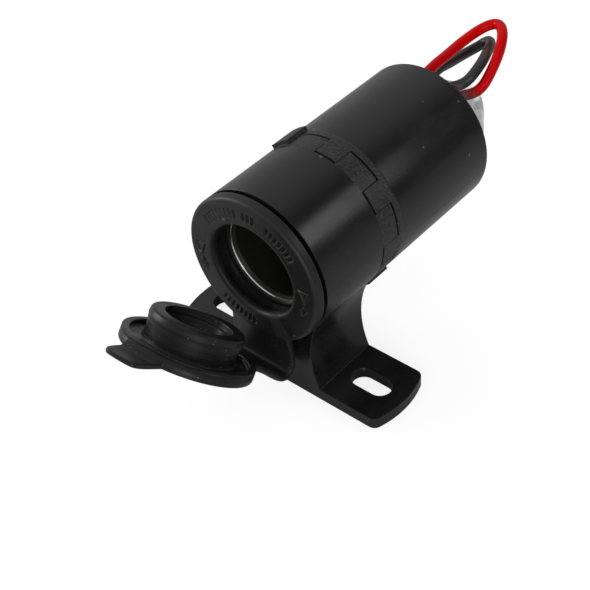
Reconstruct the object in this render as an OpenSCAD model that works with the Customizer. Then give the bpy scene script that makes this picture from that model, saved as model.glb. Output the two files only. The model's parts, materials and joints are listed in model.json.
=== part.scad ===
// Surface-mount 12 volt power socket with a footed bracket, a twin-shell barrel,
// a rubber bezel and a rubber cap on a strap.
// Origin: on the mounting face, midway between the two screw slots.
// The barrel lies along Y with its mouth towards -Y. Z is up.

/* [Barrel] */
// Outside diameter of the barrel
barrel_d = 36; // [34:0.5:38]
// Length of the barrel, without the bezel
barrel_len = 58.7; // [56:0.1:64]
// Wall of both barrel shells
shell_t = 2; // [1.6:0.1:2.4]
// Height of the barrel's axis above the mounting face
axis_h = 34.2; // [32:0.2:38]

/* [Joint between the shells] */
// From the barrel's front edge to the roots of the front shell's teeth
joint_y = 18.8; // [18:0.1:20]
// Length of the teeth
tooth_len = 5.2; // [4:0.1:6]
// Angle taken by each tooth of the front shell
tooth_arc = 26.6; // [24:0.2:30]
// Turn of the first tooth from the top of the barrel
tooth_phase = 31.4; // [25:0.2:38]
// Gap left between the two rows of teeth
joint_gap = 0.6; // [0.4:0.1:0.9]

/* [Bracket] */
// Width of the base over its corners
base_w = 57.8; // [54:0.2:64]
// Depth of the base and of the web above it
base_d = 18.1; // [16:0.1:18.5]
// Thickness of the feet
base_t = 2.9; // [2.4:0.1:3.4]
// How far each foot's rounded end stands out beyond its corners
end_bulge = 1.8; // [1:0.1:3]
// Radius of the corners of the feet
corner_r = 2; // [1:0.1:3]
// Width of the web at its waist
waist_w = 23.4; // [20:0.2:26]
// Height of the waist
waist_z = 12.5; // [11:0.1:13]
// Radius of the web's hollow sides
web_r = 25; // [24.5:0.1:26]
// Distance between the middles of the two screw slots
slot_spacing = 42.8; // [40:0.2:44]
// Length of each slot, end to end
slot_len = 10.4; // [8:0.2:12]
// Width of each slot
slot_w = 5.8; // [4.5:0.1:6]

/* [Bezel] */
// How far the bezel's face stands in front of the barrel
bezel_h = 3.5; // [3:0.1:4]
// Inside diameter of the bezel's lip
lip_d = 22.4; // [22.2:0.1:22.8]

/* [Socket] */
// Inside diameter of the contact sleeve
sleeve_id = 21.3; // [21:0.1:21.5]
// Sheet thickness of the contact sleeve
sleeve_t = 0.5; // [0.4:0.1:0.6]
// Depth of the sleeve's closed end behind the barrel's front edge
sleeve_end = 37.5; // [36:0.5:38]

/* [Cap] */
// Diameter of the cap's disc
cap_d = 29.4; // [28:0.2:31]
// Thickness of the disc over its rim
cap_t = 3; // [2.6:0.1:3.4]
// Diameter of the plug
plug_d = 20.6; // [20:0.1:20.7]
// Height of the plug above the disc's rim
plug_h = 5.6; // [4.5:0.1:5.8]
// Wall of the hollow plug
plug_t = 2; // [1.6:0.1:2.4]
// How far the open cap has turned from its closed place
cap_open = 51; // [45:1:56]
// Width of the strap
strap_w = 16; // [12:1:18]
// Thickness of the strap
strap_t = 1.9; // [1.4:0.1:2.2]

/* [Leads] */
// Diameter of each lead over its insulation
lead_d = 2.6; // [2.2:0.1:2.8]

/* [Hidden] */

$fn = 96;
// How far a joined piece runs into the wall that it stands on
bite = 0.5;

barrel_r = barrel_d / 2;
bore_r = barrel_r - shell_t;

// The web starts this far behind the barrel's front edge
web_set = 0.4;
// Where the barrel's front edge lies in the part's frame
front_y = -base_d / 2 - web_set;

// Fits, on the radius or along the axis
slide_gap = 0.1;
face_gap = 0.05;
soft_gap = 0.3;

// Teeth of the joint
tooth_n = 8;
tooth_pitch = 360 / tooth_n;
tooth_side_gap = 0.5;
teeth_end = joint_y + tooth_len;
collar_t = 1.4;
collar_y = 13;
collar_lap = 3;
// Depth of the seats cut into the collar under the front shell's teeth
seat_depth = 0.3;

// Raised latch pads on two of the rear shell's teeth
latch_h = 0.9;
latch_arc = 17;
latch_start = joint_y + 1.1;
latch_end = teeth_end + 2.5;
latch_turn = tooth_phase - 1.5 * tooth_pitch;

// Ledge inside the front shell that carries the socket's flange
ledge_y = 4;
ledge_t = 2.5;
seal_t = 0.8;

// Plastic body around the sleeve
sleeve_r = sleeve_id / 2;
sleeve_or = sleeve_r + sleeve_t;
flange_t = 1.2;
flange_y = ledge_y - seal_t - flange_t;
body_bore_r = sleeve_or + slide_gap;
body_wall = 2.35;
body_r = body_bore_r + body_wall;
ledge_r = body_r + 0.2;
body_end = sleeve_end - 2;
nut_t = 4.2;
nut_r = bore_r - 0.3;
nut_y = ledge_y + ledge_t + face_gap;
nut_notch_n = 6;
nut_notch_w = 3;

// Flared rim of the sleeve
rim_r = 11.75;
rim_y = flange_y + 0.2;
flare_len = 1.1;

// Sealing bead of the bezel and its spigot inside the barrel's mouth
lip_r = lip_d / 2;
bezel_gap = 0.6;
bezel_edge_r = 1;
mouth_round = 1.2;
spigot_r = bore_r - 0.15;
spigot_bore_r = 12.6;
lip_back = -1.2;

// Contacts behind the sleeve
insulator_r = 5.2;
insulator_t = 1.2;
insulator_hole_r = 3.5;
shank_r = 2;
contact_head_r = 3.8;
contact_head_t = 1.8;
contact_front = sleeve_end - sleeve_t - insulator_t - 2 * face_gap - contact_head_t;
neck_in = 0.4;
neck_y = contact_front - 0.8;
clinch_r = 3;
clinch_t = 0.8;
tab_w = 6.3;
tab_t = 0.8;
tab_len = 7.8;
pos_tab_z = 4;
neg_tab_z = -10.9;
neg_rivet_z = -7.9;
neg_rivet_r = 1.2;
neg_head_r = 1.9;
neg_head_t = 0.6;
pos_plate_y = sleeve_end + insulator_t;
neg_plate_y = sleeve_end;

// Push-on receptacles, their crimps and their boots
box_w = 7.5;
box_t = 2.6;
box_len = 8;
box_start = sleeve_end + 2.9;
slot_clear = 0.15;
crimp_r = 1.9;
crimp_len = 5.5;
lead_r = lead_d / 2;
crimp_y = box_start + box_len;
boot_wall = 0.7;
boot_gap = 0.15;
boot_start = box_start + 0.4;
boot_end = crimp_y + crimp_len - 0.6;

// Hinge line of the strap, from the barrel's axis and its front edge
hinge_y = -7.2;
hinge_z = -23.6;

// Cap in its closed place: y of its faces from the barrel's front edge
cap_clear = 0.2;
rim_face_y = -bezel_h - cap_clear;
outer_face_y = rim_face_y - cap_t;
groove_depth = 1;
rim_w = 1.5;
plug_r = plug_d / 2;
plug_round = 1;
cap_r = cap_d / 2;
cap_edge_r = 0.8;
cup_floor = 1.4;
tongue_w = 11;
tongue_r = 24.3;
tongue_t = 2.3;
tongue_corner = 1.6;
tongue_shift = 0.5;

// Middle line of the strap, y and z: it leaves the cap's edge, hangs to its lowest point and
// rises to its foot in the bezel
strap_root = 2;
strap_run = 5.4;
strap_low = [-3.6, -27.4];
strap_ease = [2.9, -0.2];
strap_rise = [-0.7, -22.5];
strap_foot_y = -2.1;
strap_sunk = 2.4;

// Film sleeve rolled round the leads inside the rear shell
wrap_r = bore_r - 0.25;
wrap_t = 0.4;
wrap_start = 45;
wrap_end = barrel_len + 6.5;
wrap_tilt = 20;

// Middle line of each lead, from the barrel's axis and its front edge: x, y, z
red_exit = [0, crimp_y + 0.8, pos_tab_z + tab_t / 2];
red_route = [red_exit, [0, 51.7, 4.4], [0, 54.3, 4.4], [-0.8, 57.8, 6.2], [-2.6, 62.4, 9.8], [-4, 68, 11.8],
    [-4.3, 74, 11.6], [-4.2, 80, 11.5], [-3.3, 86.6, 12.4], [-0.6, 89.8, 13.4], [2.2, 88.6, 14.8],
    [4.6, 85.2, 14.4], [6.6, 80.8, 12.4], [7.7, 76.6, 10.4], [7.8, 72.4, 8.8], [7, 66, 7], [6.6, 58, 3.4],
    [6.8, 50, 1]];
black_exit = [0, crimp_y + 0.8, neg_tab_z + tab_t / 2];
black_route = [black_exit, [0, 51.7, -10.5], [0, 54.3, -10.5], [-2.4, 57.6, -8.8], [-5, 61, -4.6],
    [-6.2, 65.6, 0.6], [-6.4, 71, 4.6], [-6.3, 77, 6.1], [-5.6, 83, 6.8], [-4, 87.4, 7.6], [-1.6, 88.6, 9.6],
    [0.8, 86.2, 11.1], [2.6, 81.8, 11.7], [3.9, 76.6, 11.6], [4, 71, 10.4], [3, 64, 7], [2.4, 57, 1.6],
    [2.4, 50, -1.4]];
lead_sides = 8;
lead_steps = 2;

// Points of a round edge: centre, radius, first and last angle
function arc(c, r, a0, a1, n = 6) = [for (i = [0:n]) let (a = a0 + (a1 - a0) * i / n)
    [c[0] + r * cos(a), c[1] + r * sin(a)]];

// A turn in the YZ plane about the hinge line
function swing(p, a) = let (dy = p[0] - hinge_y, dz = p[1] - hinge_z)
    [hinge_y + dy * cos(a) - dz * sin(a), hinge_z + dy * sin(a) + dz * cos(a)];

// Cubic curve through four control points, and its unit normal in the plane
function bez(p, t) = pow(1 - t, 3) * p[0] + 3 * t * pow(1 - t, 2) * p[1] + 3 * t * t * (1 - t) * p[2]
    + pow(t, 3) * p[3];
function bez_dir(p, t) = let (d = 3 * pow(1 - t, 2) * (p[1] - p[0]) + 6 * t * (1 - t) * (p[2] - p[1])
    + 3 * t * t * (p[3] - p[2])) d / norm(d);
function left_of(d) = [-d[1], d[0]];

// Smooth curve through a list of route points
function spline(a, b, c, d, t) = 0.5 * (2 * b + (c - a) * t + (2 * a - 5 * b + 4 * c - d) * t * t
    + (3 * b - 3 * c + d - a) * t * t * t);
function route_curve(p) = let (n = len(p)) concat([for (i = [0:n - 2], s = [0:lead_steps - 1])
    spline(p[max(i - 1, 0)], p[i], p[i + 1], p[min(i + 2, n - 1)], s / lead_steps)], [p[n - 1]]);
function unit(v) = v / norm(v);
// Frame carried along the curve without twisting: each side vector follows from the one before
function tangents(p) = let (n = len(p)) [for (i = [0:n - 1]) unit(p[min(i + 1, n - 1)] - p[max(i - 1, 0)])];
function sides(t) = [for (i = 0, u = unit(cross(t[0], [1, 0, 0])); i < len(t);
    i = i + 1, u = i < len(t) ? unit(u - (u * t[i]) * t[i]) : u) u];

// Turns a shape drawn along Z so that it lies along the barrel's axis, y from the front edge
module along_barrel(y = 0) {
    translate([0, front_y + y, axis_h]) rotate([-90, 0, 0]) children();
}

// A turned shape: points are radius and distance behind the front edge, and start is
// where the turn begins, which is kept away from the sides of the teeth
module turned(points, start = 0) {
    along_barrel() rotate([0, 0, start]) rotate_extrude() polygon(points);
}

module ring_tube(r_out, r_in, y0, y1) {
    along_barrel(y0) difference() {
        cylinder(r = r_out, h = y1 - y0);
        translate([0, 0, -1]) cylinder(r = r_in, h = y1 - y0 + 2);
    }
}

// A piece of a ring around the barrel's axis: turn is counted from the top towards +X
module ring_sector(r_out, r_in, turn, sweep, y0, y1) {
    reach = 2 * r_out;
    along_barrel(y0) rotate([0, 0, turn - 90]) linear_extrude(height = y1 - y0) intersection() {
        difference() {
            circle(r = r_out);
            circle(r = r_in);
        }
        polygon([[0, 0], [reach * cos(sweep / 2), -reach * sin(sweep / 2)],
            [reach * cos(sweep / 2), reach * sin(sweep / 2)]]);
    }
}

// A plate across the barrel's axis: middle x and z, size x and z, from y0 to y1
module block(x, z, w, h, y0, y1) {
    translate([x - w / 2, front_y + y0, axis_h + z - h / 2]) cube([w, y1 - y0, h]);
}

module screw_slot(x) {
    half = (slot_len - slot_w) / 2;
    translate([x, 0, -1]) union() {
        for (s = [-1, 1]) translate([s * half, 0, 0]) cylinder(d = slot_w, h = base_t + 2);
        translate([-half, -slot_w / 2, 0]) cube([2 * half, slot_w, base_t + 2]);
    }
}

// Outline of the base: two rounded ends joined by straight sides
module base_outline() {
    half_d = base_d / 2;
    end_r = (half_d * half_d + end_bulge * end_bulge) / (2 * end_bulge);
    end_x = base_w / 2 + end_bulge - end_r;
    c_y = half_d - corner_r;
    c_x = end_x + sqrt(pow(end_r - corner_r, 2) - c_y * c_y);
    turn = asin(c_y / (end_r - corner_r));
    right = concat(arc([c_x, -c_y], corner_r, -90, -turn), arc([end_x, 0], end_r, -turn, turn, 8),
        arc([c_x, c_y], corner_r, turn, 90));
    polygon(concat(right, [for (p = right) -p]));
}

module web_outline() {
    top_z = axis_h - 0.6 * barrel_r;
    half_w = 0.8 * barrel_r;
    difference() {
        translate([-half_w, 0]) square([2 * half_w, top_z]);
        for (s = [-1, 1]) translate([s * (waist_w / 2 + web_r), waist_z]) circle(r = web_r);
    }
}

module front_housing() {
    color([0.07, 0.07, 0.075]) difference() {
        union() {
            along_barrel() cylinder(r = barrel_r, h = teeth_end);
            translate([0, base_d / 2, 0]) rotate([90, 0, 0]) linear_extrude(height = base_d) web_outline();
            linear_extrude(height = base_t) base_outline();
        }
        for (i = [0:tooth_n - 1])
            ring_sector(barrel_r + 1, bore_r - 1, tooth_phase + (i + 0.5) * tooth_pitch,
                tooth_pitch - tooth_arc, joint_y, teeth_end + 1);
        along_barrel(-1) cylinder(r = bore_r, h = ledge_y + 1);
        along_barrel(0) cylinder(r = ledge_r, h = teeth_end + 1);
        along_barrel(ledge_y + ledge_t) cylinder(r = bore_r, h = teeth_end);
        for (s = [-1, 1]) screw_slot(s * slot_spacing / 2);
    }
}

module rear_housing() {
    collar_r = bore_r - slide_gap;
    collar_in = collar_r - collar_t;
    rear_start = teeth_end + joint_gap;
    lap_end = rear_start + collar_lap;
    rib_n = 4;
    color([0.065, 0.065, 0.07]) union() {
        difference() {
            turned([[collar_in, collar_y], [collar_r, collar_y], [collar_r, joint_y + joint_gap],
                [barrel_r, joint_y + joint_gap], [barrel_r, barrel_len], [bore_r, barrel_len],
                [bore_r, lap_end], [collar_in, lap_end - collar_t]], tooth_phase + 1.5 * tooth_pitch - 90);
            for (i = [0:tooth_n - 1])
                ring_sector(barrel_r + 1, collar_r - seat_depth, tooth_phase + i * tooth_pitch,
                    tooth_arc + 2 * tooth_side_gap, joint_y, rear_start);
        }
        for (s = [0, 1])
            ring_sector(barrel_r + latch_h, barrel_r - 1, latch_turn + 180 * s, latch_arc, latch_start,
                latch_end);
        for (i = [0:rib_n - 1])
            ring_sector(bore_r + bite, body_r + 0.2, 45 + i * 360 / rib_n, 7, lap_end + 1, body_end);
    }
}

module bezel_ring() {
    face = -bezel_h;
    mark_n = 2;
    mark_w = 2.6;
    mark_l = 4.4;
    mark_r = 15.2;
    mark_depth = 0.35;
    color([0.06, 0.06, 0.065]) difference() {
        turned(concat(
            arc([lip_r + mouth_round, face + mouth_round], mouth_round, 180, 270),
            arc([barrel_r - bezel_edge_r, face + bezel_edge_r], bezel_edge_r, 270, 360),
            [[barrel_r, -bezel_gap], [spigot_r, -bezel_gap], [spigot_r, flange_y - face_gap],
            [spigot_bore_r, flange_y - face_gap], [spigot_bore_r, lip_back], [lip_r, lip_back - 0.6]]));
        for (i = [0:mark_n - 1]) rotate_mark(i * 180 + 105)
            along_barrel(face - 1) translate([mark_r, 0, 0]) linear_extrude(height = 1 + mark_depth)
                polygon([[-mark_w / 2, -mark_l / 2], [mark_w / 2, -mark_l / 2], [0, mark_l / 2]]);
    }
}

// Turns a mark on the bezel's face about the barrel's axis
module rotate_mark(turn) {
    translate([0, 0, axis_h]) rotate([0, turn - 90, 0]) translate([0, 0, -axis_h]) children();
}

module socket_body() {
    thread_n = 5;
    thread_h = 0.5;
    thread_pitch = 2;
    flare_seat = rim_r + 0.1;
    color([0.1, 0.1, 0.105]) union() {
        turned([[flare_seat, flange_y], [bore_r - 0.3, flange_y], [bore_r - 0.3, flange_y + flange_t],
            [body_r, flange_y + flange_t], [body_r, body_end], [body_bore_r, body_end],
            [body_bore_r, rim_y + flare_len + 0.1], [flare_seat, rim_y + 0.3]]);
        for (i = [0:thread_n - 1])
            let (y = nut_y + nut_t + 0.6 + i * thread_pitch * 0.4)
                turned([[body_r - bite, y], [body_r, y], [body_r + thread_h, y + 0.3], [body_r, y + 0.6],
                    [body_r - bite, y + 0.6]]);
    }
}

module flange_seal() {
    color([0.12, 0.12, 0.12])
        ring_tube(bore_r - 0.5, body_r + 0.15, flange_y + flange_t + face_gap, ledge_y - face_gap);
}

module retaining_nut() {
    color([0.09, 0.09, 0.1]) difference() {
        ring_tube(nut_r, body_r + face_gap, nut_y, nut_y + nut_t);
        for (i = [0:nut_notch_n - 1]) along_barrel(nut_y + nut_t / 2) rotate([0, 0, i * 360 / nut_notch_n])
            translate([nut_r - 1, -nut_notch_w / 2, 0]) cube([3, nut_notch_w, nut_t]);
    }
}

// The sleeve is drawn in a little around the contact's head, past the end of its plain bore
module contact_sleeve() {
    neck_r = sleeve_r - neck_in;
    color([0.72, 0.72, 0.7]) difference() {
        turned([[rim_r - sleeve_t, rim_y], [rim_r, rim_y], [sleeve_or, rim_y + flare_len],
            [sleeve_or, neck_y], [neck_r + sleeve_t, neck_y + neck_in], [neck_r + sleeve_t, sleeve_end],
            [0, sleeve_end], [0, sleeve_end - sleeve_t], [neck_r, sleeve_end - sleeve_t],
            [neck_r, neck_y + neck_in], [sleeve_r, neck_y], [sleeve_r, rim_y + flare_len]]);
        along_barrel(sleeve_end - 2) cylinder(r = insulator_hole_r, h = 4);
        translate([0, 0, neg_rivet_z]) along_barrel(sleeve_end - 2)
            cylinder(r = neg_rivet_r + face_gap, h = 4);
    }
}

module inner_insulator() {
    back = sleeve_end - sleeve_t - face_gap;
    neck_r = insulator_hole_r - face_gap;
    color([0.35, 0.2, 0.12])
        turned([[shank_r + face_gap, back - insulator_t], [insulator_r, back - insulator_t],
            [insulator_r, back], [neck_r, back], [neck_r, sleeve_end], [shank_r + face_gap, sleeve_end]]);
}

module outer_insulator() {
    color([0.35, 0.2, 0.12])
        ring_tube(insulator_r, shank_r + face_gap, sleeve_end + face_gap, pos_plate_y - face_gap);
}

module centre_contact() {
    head_back = contact_front + contact_head_t;
    clinch_y = pos_plate_y + tab_t + face_gap;
    color([0.8, 0.62, 0.3]) turned(concat([[0, contact_front]],
        arc([contact_head_r - 1, contact_front + 1], 1, -90, 0),
        [[contact_head_r, head_back], [shank_r, head_back], [shank_r, clinch_y], [clinch_r, clinch_y],
        [clinch_r - 0.5, clinch_y + clinch_t], [0, clinch_y + clinch_t]]));
}

// A blade terminal: a plate with a hole, and a tab bent back from its edge
module blade_terminal(plate_y, tab_z, hole_z, hole_r, plate_lo, plate_hi) {
    difference() {
        union() {
            block(0, (plate_lo + plate_hi) / 2, tab_w, plate_hi - plate_lo, plate_y, plate_y + tab_t);
            block(0, tab_z + tab_t / 2, tab_w, tab_t, plate_y, plate_y + tab_len + tab_t);
        }
        translate([0, 0, hole_z]) along_barrel(plate_y - 1) cylinder(r = hole_r, h = 3);
    }
}

module positive_terminal() {
    color([0.82, 0.68, 0.36])
        blade_terminal(pos_plate_y, pos_tab_z, 0, shank_r + face_gap, -3.2, pos_tab_z + tab_t);
}

module negative_terminal() {
    color([0.75, 0.75, 0.73])
        blade_terminal(neg_plate_y + face_gap, neg_tab_z, neg_rivet_z, neg_rivet_r + face_gap, neg_tab_z, -6);
}

module negative_rivet() {
    inner = sleeve_end - sleeve_t - face_gap;
    outer = neg_plate_y + tab_t + 2 * face_gap;
    color([0.78, 0.78, 0.76]) translate([0, 0, neg_rivet_z])
        turned([[0, inner - neg_head_t], [neg_head_r, inner - neg_head_t], [neg_head_r, inner],
            [neg_rivet_r, inner], [neg_rivet_r, outer], [neg_head_r - 0.3, outer],
            [neg_head_r - 0.5, outer + neg_head_t], [0, outer + neg_head_t]]);
}

// A push-on receptacle: a flat box round the tab, then a crimp round the lead
module receptacle(tab_z) {
    mid = tab_z + tab_t / 2;
    difference() {
        union() {
            block(0, mid, box_w, box_t, box_start, crimp_y);
            translate([0, 0, mid]) along_barrel(crimp_y - 0.5) cylinder(r = crimp_r, h = crimp_len + 0.5);
        }
        block(0, mid, tab_w + 2 * slot_clear, tab_t + 2 * slot_clear, box_start - 1, crimp_y - 0.8);
        translate([0, 0, mid]) along_barrel(crimp_y + 0.6) cylinder(r = lead_r + face_gap, h = crimp_len + 1);
    }
}

module positive_receptacle() {
    color([0.85, 0.7, 0.38]) receptacle(pos_tab_z);
}

module negative_receptacle() {
    color([0.85, 0.7, 0.38]) receptacle(neg_tab_z);
}

// Soft insulating boot over a receptacle
module boot(tab_z) {
    mid = tab_z + tab_t / 2;
    in_w = box_w + 2 * boot_gap;
    in_t = box_t + 2 * boot_gap;
    neck_r = crimp_r + boot_gap;
    difference() {
        union() {
            block(0, mid, in_w + 2 * boot_wall, in_t + 2 * boot_wall, boot_start, crimp_y + 0.9);
            translate([0, 0, mid]) along_barrel(crimp_y)
                cylinder(r = neck_r + boot_wall, h = boot_end - crimp_y);
        }
        block(0, mid, in_w, in_t, boot_start - 1, crimp_y + boot_gap);
        translate([0, 0, mid]) along_barrel(crimp_y - 1) cylinder(r = neck_r, h = boot_end);
    }
}

module positive_boot() {
    color([0.7, 0.7, 0.68, 0.6]) boot(pos_tab_z);
}

module negative_boot() {
    color([0.7, 0.7, 0.68, 0.6]) boot(neg_tab_z);
}

// Turns what is drawn in the closed place about the hinge line to where the open cap stands
module opened() {
    translate([0, front_y + hinge_y, axis_h + hinge_z]) rotate([cap_open, 0, 0])
        translate([0, -front_y - hinge_y, -axis_h - hinge_z]) children();
}

// Pull tongue on the cap's rim, on the side away from the strap
module tongue() {
    half = tongue_w / 2;
    end = sqrt(tongue_r * tongue_r - half * half) - tongue_corner;
    translate([tongue_shift, front_y + outer_face_y + tongue_t, axis_h]) rotate([90, 0, 0])
        linear_extrude(height = tongue_t) intersection() {
            circle(r = tongue_r);
            polygon(concat([[-half - 1.5, 0], [half + 1.5, 0], [half, cap_r]],
                arc([half - tongue_corner, end], tongue_corner, 0, 60, 4),
                [[0, tongue_r + 0.4]],
                arc([tongue_corner - half, end], tongue_corner, 120, 180, 4), [[-half, cap_r]]));
        }
}

module cap() {
    floor_y = rim_face_y - groove_depth;
    floor = outer_face_y + cup_floor;
    tip_y = rim_face_y + plug_h;
    cup_r = plug_r - plug_t;
    step_r = cup_r - 1.6;
    color([0.055, 0.055, 0.06]) opened() difference() {
        union() {
            turned(concat([[0, outer_face_y]],
                arc([cap_r - cap_edge_r, outer_face_y + cap_edge_r], cap_edge_r, -90, 0, 4),
                arc([cap_r - 0.5, rim_face_y - 0.5], 0.5, 0, 90, 3),
                [[cap_r - rim_w, rim_face_y], [cap_r - rim_w - 0.4, floor_y], [plug_r, floor_y]],
                arc([plug_r - plug_round, tip_y - plug_round], plug_round, 0, 90),
                [[cup_r + 0.5, tip_y], [cup_r, tip_y - 0.5], [cup_r, floor + 1.2],
                [step_r, floor + 1.2], [step_r, floor], [0, floor]]));
            tongue();
        }
        // Clears the tongue's root out of the groove between the rim and the plug
        turned([[plug_r, floor_y], [cap_r - rim_w - 0.4, floor_y], [cap_r - rim_w, rim_face_y],
            [cap_r - rim_w, rim_face_y + 1], [plug_r, rim_face_y + 1]]);
    }
}

// The strap runs from the cap's edge down, round a loose bend and up to the bezel's foot.
// Both its ends are cut to the round edges that they meet.
module strap() {
    mid_y = outer_face_y + cap_t / 2;
    start = swing([mid_y, strap_root - cap_r], cap_open);
    leave = swing([mid_y, -strap_run - cap_r], cap_open);
    foot = [strap_foot_y, strap_sunk - barrel_r];
    first = [start, leave, strap_low - strap_ease, strap_low];
    second = [strap_low, strap_low + strap_ease, strap_rise, foot];
    n = 10;
    mid = concat([for (i = [0:n]) [bez(first, i / n), bez_dir(first, i / n)]],
        [for (i = [1:n]) [bez(second, i / n), bez_dir(second, i / n)]]);
    upper = [for (m = mid) m[0] + left_of(m[1]) * strap_t / 2];
    lower = [for (i = [len(mid) - 1:-1:0]) mid[i][0] - left_of(mid[i][1]) * strap_t / 2];
    color([0.055, 0.055, 0.06]) difference() {
        translate([-strap_w / 2, front_y, axis_h]) rotate([90, 0, 90]) linear_extrude(height = strap_w)
            polygon(concat(upper, lower));
        along_barrel(-bezel_h - 2) cylinder(r = barrel_r + face_gap, h = bezel_h + 4);
        opened() along_barrel(outer_face_y - 2) cylinder(r = cap_r + soft_gap, h = cap_t + 4);
    }
}

// A round cord swept along a route
module cord(route) {
    line = route_curve(route);
    dirs = tangents(line);
    side = sides(dirs);
    n = len(line);
    points = [for (i = [0:n - 1], k = [0:lead_sides - 1])
        let (a = 360 * k / lead_sides, v = cross(dirs[i], side[i]))
            line[i] + lead_r * (cos(a) * side[i] + sin(a) * v)];
    walls = [for (i = [0:n - 2], k = [0:lead_sides - 1]) let (j = (k + 1) % lead_sides)
        [i * lead_sides + k, (i + 1) * lead_sides + k, (i + 1) * lead_sides + j, i * lead_sides + j]];
    ends = [[for (k = [0:lead_sides - 1]) k], [for (k = [lead_sides - 1:-1:0]) (n - 1) * lead_sides + k]];
    translate([0, front_y, axis_h]) polyhedron(points = points, faces = concat(ends, walls), convexity = 4);
}

module red_lead() {
    color([0.75, 0.03, 0.04]) cord(red_route);
}

module black_lead() {
    color([0.05, 0.05, 0.05]) cord(black_route);
}

// Clear film sleeve: a thin tube whose outer end is cut on the slant
module lead_wrap() {
    color([0.75, 0.75, 0.77, 0.4]) difference() {
        ring_tube(wrap_r, wrap_r - wrap_t, wrap_start, wrap_end);
        translate([-wrap_r, front_y + barrel_len + 0.6, axis_h]) rotate([0, 0, wrap_tilt])
            translate([-60, 0, -40]) cube([120, 40, 80]);
    }
}

front_housing();
rear_housing();
bezel_ring();
cap();
strap();
socket_body();
flange_seal();
retaining_nut();
contact_sleeve();
inner_insulator();
outer_insulator();
centre_contact();
positive_terminal();
negative_terminal();
negative_rivet();
positive_receptacle();
negative_receptacle();
positive_boot();
negative_boot();
red_lead();
black_lead();
lead_wrap();
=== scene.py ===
import json
import math

import bmesh
import bpy
import numpy as np
from bpy.props import FloatProperty, FloatVectorProperty, IntProperty, PointerProperty
from mathutils import Euler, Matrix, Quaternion, Vector


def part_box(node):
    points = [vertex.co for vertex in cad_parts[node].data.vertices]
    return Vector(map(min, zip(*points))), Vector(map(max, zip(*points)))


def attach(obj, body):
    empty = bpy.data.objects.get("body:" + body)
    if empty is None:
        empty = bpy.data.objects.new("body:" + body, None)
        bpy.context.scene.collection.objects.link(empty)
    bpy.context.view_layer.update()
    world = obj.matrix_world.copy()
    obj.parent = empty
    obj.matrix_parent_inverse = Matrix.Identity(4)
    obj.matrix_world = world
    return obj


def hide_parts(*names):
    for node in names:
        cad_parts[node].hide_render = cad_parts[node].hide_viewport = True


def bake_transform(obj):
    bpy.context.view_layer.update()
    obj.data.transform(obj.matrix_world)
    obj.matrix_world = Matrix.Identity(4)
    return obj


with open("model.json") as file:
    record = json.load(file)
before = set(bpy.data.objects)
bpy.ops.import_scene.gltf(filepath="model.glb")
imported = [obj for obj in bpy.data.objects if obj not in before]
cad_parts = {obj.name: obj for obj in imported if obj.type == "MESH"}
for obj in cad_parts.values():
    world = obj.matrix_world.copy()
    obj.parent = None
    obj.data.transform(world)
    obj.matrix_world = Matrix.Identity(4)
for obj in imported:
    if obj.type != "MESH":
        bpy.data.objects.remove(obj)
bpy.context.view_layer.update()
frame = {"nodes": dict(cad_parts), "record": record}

bl_info = {
    "name": "Surface-mount 12 volt socket",
    "version": (1, 0, 0),
    "blender": (4, 5, 0),
    "location": "View3D > Sidebar > Socket",
    "description": "Rubber parts, leads, film and finishes of a footed 12 volt socket",
    "category": "Object",
}

MM = 0.001

# The barrel's axis runs along Y at this height, from its front edge to its rear end.
AXIS_Z = next(m["pos_m"][2] for m in frame["record"]["mounts"] if m["name"] == "socket_bore")
FRONT_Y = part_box("front_housing")[0].y
REAR_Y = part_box("rear_housing")[1].y
# Radius of the barrel and its length, in mm
BARREL_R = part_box("bezel_ring")[1].x / MM
BARREL_LENGTH = (REAR_Y - FRONT_Y) / MM

# The strap bends about this line: y from the barrel's front edge and z from its axis, in mm.
HINGE = np.array([-7.2, -23.6])
OPEN_ANGLE = math.radians(51)


# Numbers and places

def row_points(x, y, z):
    """Arrays of millimetres from the barrel's axis and front edge, as points of the frame in
    metres."""
    x, y, z = np.broadcast_arrays(x, y, z)
    return np.stack([x * MM, y * MM + FRONT_Y, z * MM + AXIS_Z], -1)


def swing(y, z, angle):
    """Turns y and z about the hinge line: the plain rotation of the difference from the line."""
    dy, dz = y - HINGE[0], z - HINGE[1]
    cos, sin = math.cos(angle), math.sin(angle)
    return HINGE[0] + dy * cos - dz * sin, HINGE[1] + dy * sin + dz * cos


def smooth_step(value):
    """Zero below 0, one above 1, and 3t^2 - 2t^3 between."""
    t = np.clip(value, 0, 1)
    return t * t * (3 - 2 * t)


def inside_band(distance, half_width, soft):
    """One where a distance is under the half width, falling to zero over a soft edge."""
    return smooth_step((half_width - np.abs(distance)) / soft + 0.5)


def bezier(p0, p1, p2, p3, t):
    """Cubic curve: the four points weighted by (1-t)^3, 3t(1-t)^2, 3t^2(1-t) and t^3."""
    t = t[:, None]
    return (1 - t) ** 3 * p0 + 3 * t * (1 - t) ** 2 * p1 + 3 * t * t * (1 - t) * p2 + t ** 3 * p3


def unit_rows(vectors):
    """Rows divided by their lengths."""
    return vectors / np.linalg.norm(vectors, axis=1, keepdims=True)


def distances_along(points):
    """Distance of each point from the first one along the line through them."""
    return np.concatenate([[0], np.cumsum(np.linalg.norm(np.diff(points, axis=0), axis=1))])


def sample(at, places, points):
    """Points read off between the given ones, which lie at these places."""
    return np.stack([np.interp(at, places, column) for column in points.T], -1)


def full_turn(steps):
    """Evenly spaced angles of a full turn, without its end."""
    return np.linspace(0, 2 * math.pi, steps, endpoint=False)


def rolling_mean(values, window):
    """Columns of values averaged with the window's weights, without the rows that it can't fill."""
    weights = window / window.sum()
    return np.stack([np.convolve(column, weights, "valid") for column in values.T], -1)


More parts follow.
